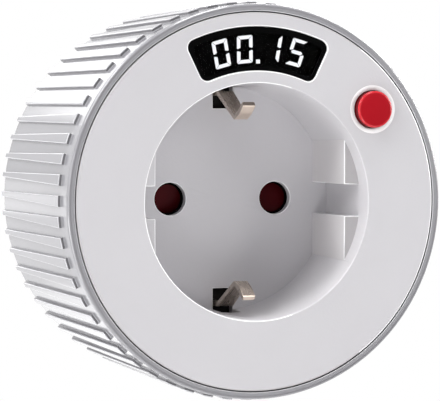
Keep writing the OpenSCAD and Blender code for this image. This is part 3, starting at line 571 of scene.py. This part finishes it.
def cover_painted_light(face):
    """The painted highlight, painted shade or painted light on a face of the cover that isn't plain, from
    where it lies and looks.
    """
    x, y, z = middle_of(face)
    r, right, forwards = math.hypot(x, y), face.normal.x, -face.normal.y
    if FACE - 0.7 < z < FACE - 0.001 and 0.05 < forwards < 0.9995:  # rounded edges: painted highlight, but painted shade on the outer rim except at the far right, and the well's painted light on the mouth's right
        if r > RIM_FROM:
            return COVER_PAINTED_HIGHLIGHT if x > RIM_HIGHLIGHT_X else COVER_PAINTED_SHADE
        return WELL_PAINTED_LIGHT if r < MOUTH_TO and x > MOUTH_NO_HIGHLIGHT_X else COVER_PAINTED_HIGHLIGHT
    if abs(z - BLOCK_TOP) < 0.02 and forwards > 0.99 and x > 0:  # the fronts of the right guide blocks: painted shade
        return COVER_PAINTED_SHADE
    if FLOOR < z < BLOCK_TOP and right < -0.9 and BLOCK_X - 0.1 < x < BLOCK_TOP_X + 0.1:  # their flats: painted light
        return BLOCK_PAINTED_LIGHT
    if r > RIM_FROM and z > COVER_BACK and forwards < 0.05:  # the wall of the gap around the cover: painted shade, darker at the top
        return RING_PAINTED_SHADE if y > GAP_SHADE_Y else COVER_PAINTED_SHADE
    # the rest of the well's inside: painted light
    if not face.material_index and FLOOR < z < FACE - 0.1 and r < WELL_TO:
        return WELL_PAINTED_LIGHT
    return None


def front_cover():
    """Face, well and skirt in one piece, cut for the window, the button and the clips."""
    cover = revolve("front_cover_skin", [
        (WELL_FLOOR_R, FLOOR), (WELL_R, FACE, MOUTH_ROUND), (FACE_R, FACE, FACE_ROUND), (FACE_R, COVER_BACK),
        (SKIRT_R, COVER_BACK), (SKIRT_R, SKIRT_BACK), (SKIRT_R - SKIRT_WALL, SKIRT_BACK),
        (SKIRT_R - SKIRT_WALL, COVER_BACK), (WELL_OUT_R, COVER_BACK), (WELL_OUT_R, FLOOR_BACK),
        (POCKET_R, FLOOR_BACK), (POCKET_R, FLOOR)])
    tones = [COVER, COVER_PAINTED_HIGHLIGHT, COVER_PAINTED_SHADE, WELL_PAINTED_LIGHT, RING_PAINTED_SHADE, BLOCK_PAINTED_LIGHT]
    for material in tones[:2]:  # soften() needs slot 1, the painted highlight
        cover.data.materials.append(material)
    combine(cover, guide_blocks(), "UNION")
    cuts = [flared(grown_window, PANE_BACK, WINDOW_ROUND),
            prism("cut", window_outline(OPENING_IN, OPENING_R, OPENING_HALF, WINDOW_CORNER / 2), *OPENING_Z),
            flared(button_hole, HOLE_FOOT, HOLE_FLARE, deep=HOLE_FLARE_DEPTH)]
    for near, far in ((CLIP_HOLE_IN, CLIP_HOLE_OUT), (-CLIP_HOLE_OUT, -CLIP_HOLE_IN)):
        cuts.append(block("cut", -CLIP_HOLE_HALF, CLIP_HOLE_HALF, near, far,
                          FLOOR - 1, FLOOR + CLIP_HOLE_TOP))
    combine(cover, cuts, "DIFFERENCE")
    # the sharp edges inside the well, the guide blocks' among them, are rounded and get slot 1's painted
    # highlight
    soften(cover, width=BLOCK_ROUND, angle=38,
           where=lambda p: FLOOR - 0.1 < p.z < COVER_BACK and math.hypot(p.x, p.y) < BLOCK_R - 0.1)
    heal(cover)
    for face in cover.data.polygons:
        tone = cover_painted_light(face)
        if tone:
            face.material_index = tones.index(tone)
    finish_piece(cover, "housing", tones, "front_cover")


def socket_floor():
    """The floor plate, with its two pin holes and the windows that the clips come through."""
    plate_r, bore_r = POCKET_R - PLATE_PLAY, PIN_HOLE_R - LEDGE_W
    floor = revolve("socket_floor_plate",
                    [(0, FLOOR), (plate_r, FLOOR), (plate_r, FLOOR_BACK), (0, FLOOR_BACK)])
    bore = [(0, UNDER_PLATE), (bore_r, UNDER_PLATE), (bore_r, BORE_TOP), (0, BORE_TOP)]
    cuts = []
    for side in (-1, 1):
        near, far = sorted((side * CLIP_HOLE_IN, side * PLATE_HOLE_OUT))
        cuts.append(flared(lambda d: circle((side * PIN_X, 0), PIN_HOLE_R + d, 96),
                           PIN_LEDGE, PLATE_HOLE_ROUND, FLOOR))
        cuts.append(revolve("cut", bore, at=(side * PIN_X, 0), sides=96))
        cuts.append(flared(lambda d: [(-CLIP_HOLE_HALF - d, near - d), (CLIP_HOLE_HALF + d, near - d),
                                      (CLIP_HOLE_HALF + d, far + d), (-CLIP_HOLE_HALF - d, far + d)],
                           UNDER_PLATE, PLATE_HOLE_ROUND, FLOOR))
    combine(floor, cuts, "DIFFERENCE")
    heal(floor, split=True)
    tones = [FLOOR_PLASTIC, COVER_PAINTED_HIGHLIGHT, BLACK]
    for face in floor.data.polygons:
        x, y, z = middle_of(face)
        # the holes' rounded edges: painted highlight
        if FLOOR - PLATE_HOLE_ROUND - 0.01 < z < FLOOR - 0.001 and -face.normal.y > 0.05:
            face.material_index = tones.index(COVER_PAINTED_HIGHLIGHT)
        # inside the pin holes, below the ledge: painted shade, in black
        elif z < PIN_LEDGE + 0.01 and math.hypot(abs(x) - PIN_X, y) < PIN_HOLE_R:
            face.material_index = tones.index(BLACK)
    finish_piece(floor, "housing", tones, "socket_floor")


# --------------------------------------------------------------- display


def display_window():
    """The pane: clear over the digits, printed black behind its border."""
    def rim(z, less, narrow):
        outline = window_outline(WINDOW_IN + less, WINDOW_R - less, WINDOW_HALF - narrow, WINDOW_CORNER)
        return [(x, y, z) for x, y in outline]

    def clear(z):
        outline = window_outline(OPENING_IN + 0.1, OPENING_R - 0.1, OPENING_HALF - 0.3, WINDOW_CORNER / 2)
        return [(x, y, z) for x, y in outline]

    pane = loft("display_window_pane", [
        clear(PANE_BACK), rim(PANE_BACK, PANE_PLAY, PANE_PLAY_TURN),
        rim(PANE_TOP - PANE_BEVEL_H, PANE_PLAY, PANE_PLAY_TURN),
        rim(PANE_TOP, PANE_PLAY + PANE_BEVEL, PANE_PLAY_TURN + PANE_BEVEL_TURN), clear(PANE_TOP)])
    for face in pane.data.polygons:  # the two ends of the loft, with their many corners, are clear
        face.material_index = 0 if len(face.vertices) > 4 else 1
    finish_piece(pane, "housing", [PANE, PANE_RIM], "display_window")


def stroke(name):
    """Corners of one stroke of a digit, in a cell from zero."""
    w, h, s, g, c = DIGIT_W, DIGIT_H, STROKE, DIGIT_GAP, DIGIT_CUT
    m, near, far = h / 2, c * 0.45, c * 0.55
    nose_in, nose_up = 0.12, 0.22  # how far the end at the middle is cut back
    if name in "ad":
        out = [(g + c, h), (w - g - c, h), (w - g - near, h - far), (w - s - g, h - s), (s + g, h - s),
               (g + near, h - far)]
        return out if name == "a" else [(x, h - y) for x, y in out]
    if name == "g":
        return [(s / 2 + g, m), (s + g, m + s / 2), (w - s - g, m + s / 2), (w - s / 2 - g, m),
                (w - s - g, m - s / 2), (s + g, m - s / 2)]
    out = [(w - far, h - g - near), (w - s, h - s - g), (w - s, m + s / 2 + g),
           (w - nose_in, m + nose_in + g), (w, m + nose_up + g), (w, h - g - c)]
    if name in "ce":
        out = [(x, h - y) for x, y in out]
    return [(w - x, y) for x, y in out] if name in "ef" else out


def display_digits():
    """The lit strokes, and the dot between the hours and the minutes."""
    verts, faces = [], []

    def plate(points):
        n, first = len(points), len(verts)
        area = sum(a[0] * b[1] - b[0] * a[1] for a, b in zip(points, points[1:] + points[:1]))
        points = points if area > 0 else points[::-1]
        for z in (DIGIT_BACK, DIGIT_TOP):
            verts.extend((x, y, z) for x, y in points)
        faces.append(tuple(first + n + k for k in range(n)))
        faces.append(tuple(first + k for k in reversed(range(n))))
        for k in range(n):
            after = (k + 1) % n
            faces.append((first + k, first + after, first + n + after, first + n + k))

    for strokes, cx, cy, turn in DIGITS:
        for name in strokes:
            points = []
            for x, y in stroke(name):
                y -= DIGIT_H / 2
                x += y * math.tan(math.radians(SLANT)) - DIGIT_W / 2
                c, s = polar(1, turn)
                points.append((cx + x * c - y * s, cy + x * s + y * c))
            plate(points)
    x, y, size = DOT
    plate([(x + a * size / 2, y + b * size / 2) for a, b in ((-1, -1), (1, -1), (1, 1), (-1, 1))])
    digits = solid("display_digits_lit", verts, faces)
    finish_piece(digits, "housing", [LIGHT], "display_digits")


# ------------------------------------------------ ring, button and clips


def ring_profile():
    """The ring's closed profile, as rows of (r, z, share of a rib's height, material)."""
    slope = (RING_R - RING_BACK_R) / (RING_R_HEIGHT - RING_BACK)

    def cone(z):
        return RING_BACK_R + slope * (z - RING_BACK)

    rows = []
    lip, tags = rounded([
        (RING_BORE, RING_BACK + RING_CHAMFER), (RING_BORE, SHELF), (LIP_R, SHELF), (LIP_R, LIP, LIP_ROUND),
        (LIP_R + LIP_FLAT, LIP), (RING_R + 0.012, LIP, LIP_OUT_ROUND), (cone(RIB_FRONT + 1), RIB_FRONT + 1)],
        8, closed=False)
    for (r, z), tag in zip(lip, tags):
        tone = RING
        if r < LIP_R + 0.001 and z < LIP - 0.1:  # the wall of the gap around the cover: deep painted shade
            tone = RING_DEEP_PAINTED_SHADE
        elif z == LIP or r > LIP_R + LIP_FLAT and z > LIP - 0.06:  # the lip's front: a band of painted shade
            tone = RING_PAINTED_SHADE
        elif tag and r < LIP_R + 0.3:  # its inner edge: painted highlight
            tone = RING_PAINTED_HIGHLIGHT
        rows.append((r, z, 0.0, tone))
    rows += [(cone(RIB_FRONT + d), RIB_FRONT + d, share, RING) for d, share in reversed(RIB_SIDE)]
    for i in range(1, RIB_PARTS):
        z = RIB_FRONT - RIB_END + (RIB_BACK + RIB_END - RIB_FRONT + RIB_END) * i / RIB_PARTS
        rows.append((cone(z), z, 1.0, RING))
    rows += [(cone(RIB_BACK - d), RIB_BACK - d, share, RING) for d, share in RIB_SIDE]
    edge, _ = rounded([
        (cone(RING_BACK + 0.1), RING_BACK + 0.1), (RING_BACK_R, RING_BACK, RING_BACK_ROUND),
        (RING_BORE + RING_CHAMFER, RING_BACK), (RING_BORE, RING_BACK + RING_CHAMFER)], 3, closed=False)
    return rows + [(r, z, 0.0, RING) for r, z in edge[1:-1]]


def setting_ring():
    """The ring's profile, turned, with a grid that follows the ribs' sides and ends."""
    rows = ring_profile()
    offsets, rising = zip(*RIB_SIDE)
    heights = [0.0, *reversed(rising), 1.0, *rising]  # across one rib, from the middle of the gap before it
    verts, faces, slots = [], [], []
    for r, z, share, _ in rows:
        t = min(1, max(0, (z - RIB_BACK) / (RIB_FRONT - RIB_BACK)))
        half = (RIB_W_BACK + (RIB_W_FRONT - RIB_W_BACK) * t) / 2
        across = [-math.pi * r / RIBS, *(-half - d for d in reversed(offsets)), 0.0]
        across += [half + d for d in offsets]
        for i in range(RIBS):
            middle = math.radians(RIB_TURN + 360 * i / RIBS)
            for s, h in zip(across, heights):
                a, out = middle + s / r, r + RIB_H * h * share
                verts.append((out * math.cos(a), out * math.sin(a), z))
    tones = [RING, RING_PAINTED_HIGHLIGHT, RING_PAINTED_SHADE, RING_DEEP_PAINTED_SHADE]
    m = RIBS * len(heights)
    for k, (_, z, share, tone) in enumerate(rows):
        n = (k + 1) % len(rows)
        for i in range(m):
            j = (i + 1) % m
            faces.append((k * m + i, k * m + j, n * m + j, n * m + i))
            corners = [heights[p % len(heights)] * rows[q][2] for p in (i, j) for q in (k, n)]
            look = tone
            if max(corners) > 0.5 and min(corners) < 0.5:  # a rib's wall: painted shade, deeper at the rib's front end
                look = RING_DEEP_PAINTED_SHADE if share != rows[n][2] and z > RIB_FRONT - 1 else RING_PAINTED_SHADE
            elif 0.6 < min(corners) < 0.96:  # its rounded rim: painted highlight
                look = RING_PAINTED_HIGHLIGHT
            slots.append(tones.index(look))
    ring = solid("setting_ring_skin", verts, faces, slots)
    finish_piece(ring, "ring", tones, "setting_ring")


def start_button():
    """A round cap with a rounded rim and a faintly crowned top."""
    r, top = BUTTON_R, BUTTON_TOP
    points, tags = rounded([
        (0, top), (r * 0.5, top - BUTTON_CROWN / 5), (r, top - BUTTON_CROWN, BUTTON_ROUND),
        (r, BUTTON_FOOT), (0, BUTTON_FOOT)], 10)
    # the rounded rim gets slot 1, a painted highlight, and the straight side wall slot 2, painted shade
    tags = [2 if x > r - 0.001 and not tag else tag for (x, _), tag in zip(points, tags)]
    cap = revolve("start_button_cap", points, at=polar(BUTTON_POS_R, BUTTON_ANGLE), sides=128, tags=tags)
    finish_piece(cap, "button", [RED, RED_PAINTED_HIGHLIGHT, RED_PAINTED_SHADE], "start_button")


def clip_section(w):
    """Outline across a clip of half width w, with its four corners rounded."""
    h, c, mid = CLIP_T / 2, CLIP_CORNER, 0.03
    section = []
    for sx, sy in ((1, 1), (1, -1), (-1, -1), (-1, 1)):
        corner = [(w - c, h), (w - mid, h - mid), (w, h - c)]
        section += [(sx * x, sy * y) for x, y in (corner if sx == sy else corner[::-1])]
    return section


def earth_clip(side, body, node):
    """A bent spring strip that narrows towards its tip, with rounded edges."""
    path, _ = rounded(CLIP_PATH, 8, closed=False)
    points = [Vector(p) for p in path]
    length = sum((b - a).length for a, b in zip(points, points[1:]))
    loops, run = [], 0.0
    for i, p in enumerate(points):
        ahead = (points[min(i + 1, len(points) - 1)] - points[max(i - 1, 0)]).normalized()
        if i:
            run += (p - points[i - 1]).length
        width = CLIP_W + (CLIP_TIP_W - CLIP_W) * min(1, run / length * CLIP_TAPER)
        out = Vector((ahead.y, -ahead.x))  # away from the middle
        for along, less in CLIP_TIP if i == len(points) - 1 else [(0.0, 0.0)]:
            loop = []
            for x, o in clip_section(width / 2):
                k = max(abs(x) - less, 0) * (1 if x > 0 else -1)
                q = p + ahead * along + out * (o * (1 - less * 0.9))
                loop.append((k, side * q.x, q.y))
            loops.append(loop)
    clip = loft(node + "_strip", loops)
    tones = [NICKEL, NICKEL_PAINTED_LIGHT, NICKEL_PAINTED_SHADE]
    knee, tip = CLIP_PATH[2][1] + 0.2, CLIP_PATH[-1][1] - 0.7
    # Painted light: the upper clip's tip is painted bright on its inner face and the lower clip on its end;
    # the upper clip's end gets painted shade
    for face in clip.data.polygons:
        height, inwards, forwards = -face.center.y / MM, -side * face.normal.z, -face.normal.y
        at_end = height > tip and forwards > 0.7
        if side > 0 and height > knee and inwards > 0.5 or side < 0 and at_end:
            face.material_index = tones.index(NICKEL_PAINTED_LIGHT)
        elif at_end:
            face.material_index = tones.index(NICKEL_PAINTED_SHADE)
    finish_piece(clip, body, tones, node)


# ---------------------------------------------------- CAD nodes that stay


def dress(node, material, width=0.0):
    """Gives a CAD node its material and, where it shows, softly rounded edges."""
    obj = frame["nodes"][node]
    obj.data.materials.clear()
    obj.data.materials.append(material)
    if width:
        m = obj.modifiers.new("weld", "WELD")
        m.merge_threshold = WELD
        m = obj.modifiers.new("flat", "DECIMATE")
        m.decimate_type, m.angle_limit = "DISSOLVE", math.radians(FLAT_ANGLE)
        m = obj.modifiers.new("bevel", "BEVEL")
        m.width, m.segments, m.limit_method = width * MM, 2, "ANGLE"
        m.angle_limit, m.use_clamp_overlap = math.radians(ROUND_ANGLE), True
        m = obj.modifiers.new("heal", "WELD")
        m.merge_threshold = WELD_ROUNDED
        m = obj.modifiers.new("normals", "WEIGHTED_NORMAL")
        m.keep_sharp = True


front_cover()
display_window()
display_digits()
socket_floor()
setting_ring()
start_button()
earth_clip(1, "clip_upper", "earth_clip_upper")
earth_clip(-1, "clip_lower", "earth_clip_lower")

for node, material, width in (
        ("rear_housing", HOUSING, 0.25), ("plug_boss", BOSS, 0.3), ("plug_earth_upper", STRIP, 0.12),
        ("plug_earth_lower", STRIP, 0.12), ("housing_screws", SCREW, 0.12)):
    dress(node, material, width)
for node, material in {
        "plug_pin_left": PIN, "plug_pin_right": PIN, "display_module": BLACK, "display_board": BOARD,
        "display_screws": SCREW, "ring_gear": GEAR, "encoder_pinion": GEAR, "encoder_body": ENCODER,
        "tact_switch": SWITCH, "tact_plunger": PLUNGER, "shutter": SHUTTER, "shutter_spring": SPRING,
        "contact_carrier": CARRIER, "live_contact": BRASS, "neutral_contact": BRASS, "earth_plate": STEEL,
        "earth_link": STEEL, "main_board": BOARD, "relay": RELAY, "film_capacitor": FILM,
        "smoothing_capacitor": CAN, "varistor": VARISTOR, "fuse": FUSE, "rectifier": CHIP,
        "controller_chip": CHIP, "ribbon_cable": RIBBON}.items():
    dress(node, material)

# ---------------------------------------------------- camera, lamps, stage

CAMERA_PLACE, CAMERA_AIM = (-0.1523, -0.4707, 0.01708), (0.33493, 0.94145, -0.03847)
LENS, SENSOR = 216.57, 36.0
LAMP_TARGET, LAMP_DISTANCE = Vector((0, -0.03, 0)), 0.95
# Soft boxes: the angle from straight in front (left is negative), the height angle, the two sides in metres
# and the power in watts
LAMPS = {
    "top": (0, 85, 0.3, 0.4, 6.2),
    "top_left": (-15, 70, 0.3, 0.4, 1.25),
    "high": (10, 50, 0.3, 0.4, 0.6),
    "front": (0, 5, 0.3, 0.4, 0.38),
    "left_front": (-55, 5, 0.3, 0.4, 1.35),
    "left": (-80, 5, 0.3, 0.4, 0.6),
    "left_high": (-70, 40, 0.3, 0.4, 4.3),
    "left_strip": (-88, 55, 0.3, 0.12, 1.3),
    "left_middle": (-88, -10, 0.3, 0.12, 0.7),
    "left_low": (-82, -20, 0.3, 0.4, 2.65),
    "low_left": (-20, -30, 0.3, 0.4, 1.5),
    "low_deep": (-35, -50, 0.3, 0.3, 2.1),
    "low_right": (20, -30, 0.3, 0.4, 0.78),
    "right": (45, 10, 0.3, 0.4, 2.65),
    "back_left": (-125, 50, 0.4, 0.4, 2.6),
    "back_low": (-110, -40, 0.4, 0.4, 1.6),
    "behind_high": (-170, 17, 0.54, 0.14, 0.45),
    "behind_edge": (-176, -2.2, 0.5, 0.08, 0.09),
    "behind_middle": (-176, -9, 0.5, 0.16, 0.065),
    "behind_low": (-176, -21, 0.5, 0.2, 0.23),
    "rear": (150, 12, 0.4, 0.4, 4.6),
    "right_side": (88, 15, 0.4, 0.4, 6.5)}
FILL = 0.13  # strength of the world's light on the part
FLOOR_HALF, FLOOR_HEIGHT = 2.5, -0.75
# The floor's glow rises between these two distances, in metres, from the first level to the second, so that
# its far edge meets the white world without a line
GLOW_FROM, GLOW_TO, GLOW_LOW, GLOW_HIGH = 1.0, 2.3, 0.75, 0.97


def add_object(name, data, place, aim):
    """An object that looks along a direction."""
    obj = bpy.data.objects.new(name, data)
    bpy.context.scene.collection.objects.link(obj)
    obj.location = place
    obj.rotation_mode = "QUATERNION"
    obj.rotation_quaternion = aim.to_track_quat("-Z", "Y")
    return obj


def camera():
    data = bpy.data.cameras.new("camera")
    data.sensor_width, data.lens = SENSOR, LENS
    data.clip_start, data.clip_end = 0.01, 100
    bpy.context.scene.camera = add_object("camera", data, CAMERA_PLACE, Vector(CAMERA_AIM))


def lamps():
    """Soft rectangular lamps around the part, all at the same distance."""
    for name, (turn, height, wide, tall, watts) in LAMPS.items():
        data = bpy.data.lights.new(name, "AREA")
        data.shape, data.size, data.size_y, data.energy = "RECTANGLE", wide, tall, watts
        a, e = math.radians(turn), math.radians(height)
        side = Vector((math.sin(a) * math.cos(e), -math.cos(a) * math.cos(e), math.sin(e)))
        place = LAMP_TARGET + side * LAMP_DISTANCE
        add_object(name, data, place, LAMP_TARGET - place)


def seen(tree):
    """1 for rays from the camera and for those that gloss or glass sends on, 0 for the light on the part."""
    path = tree.nodes.new("ShaderNodeLightPath")
    found = path.outputs["Is Camera Ray"]
    for name in ("Is Glossy Ray", "Is Transmission Ray"):
        larger = tree.nodes.new("ShaderNodeMath")
        larger.operation = "MAXIMUM"
        tree.links.new(found, larger.inputs[0])
        tree.links.new(path.outputs[name], larger.inputs[1])
        found = larger.outputs[0]
    return found


def world():
    """A world that is plain white where it is seen and gives the part a faint light."""
    w = bpy.data.worlds.new("studio")
    bpy.context.scene.world = w
    w.use_nodes = True
    tree = w.node_tree
    background = tree.nodes["Background"]
    set_inputs(background, Color=grey(1))
    level = tree.nodes.new("ShaderNodeMapRange")
    set_inputs(level, To_Min=FILL, To_Max=1.0)
    tree.links.new(seen(tree), level.inputs["Value"])
    tree.links.new(level.outputs["Result"], background.inputs["Strength"])


def stage_floor():
    """A plain white floor well below the part. It keeps the part's soft shadow."""
    half, z = FLOOR_HALF, FLOOR_HEIGHT
    corners = [(-half, -half, z), (half, -half, z), (half, half, z), (-half, half, z)]
    mesh = bpy.data.meshes.new("floor")
    mesh.from_pydata(corners, [], [(0, 1, 2, 3)])
    floor = bpy.data.objects.new("floor", mesh)
    bpy.context.scene.collection.objects.link(floor)
    m, tree, bsdf = new_material("floor_white")
    set_inputs(bsdf, Base_Color=grey(0.8), Roughness=0.9, Specular_IOR_Level=0.0, Emission_Color=grey(1))
    coords = tree.nodes.new("ShaderNodeTexCoord")
    away = tree.nodes.new("ShaderNodeVectorMath")
    away.operation = "LENGTH"
    tree.links.new(coords.outputs["Object"], away.inputs[0])
    glow = tree.nodes.new("ShaderNodeMapRange")
    set_inputs(glow, From_Min=GLOW_FROM, From_Max=GLOW_TO, To_Min=GLOW_LOW, To_Max=GLOW_HIGH)
    tree.links.new(away.outputs["Value"], glow.inputs["Value"])
    level = tree.nodes.new("ShaderNodeMath")
    level.operation = "MULTIPLY"
    tree.links.new(seen(tree), level.inputs[0])
    tree.links.new(glow.outputs["Result"], level.inputs[1])
    tree.links.new(level.outputs[0], bsdf.inputs["Emission Strength"])
    mesh.materials.append(m)


camera()
lamps()
world()
stage_floor()
bpy.context.scene.view_settings.view_transform = "Standard"
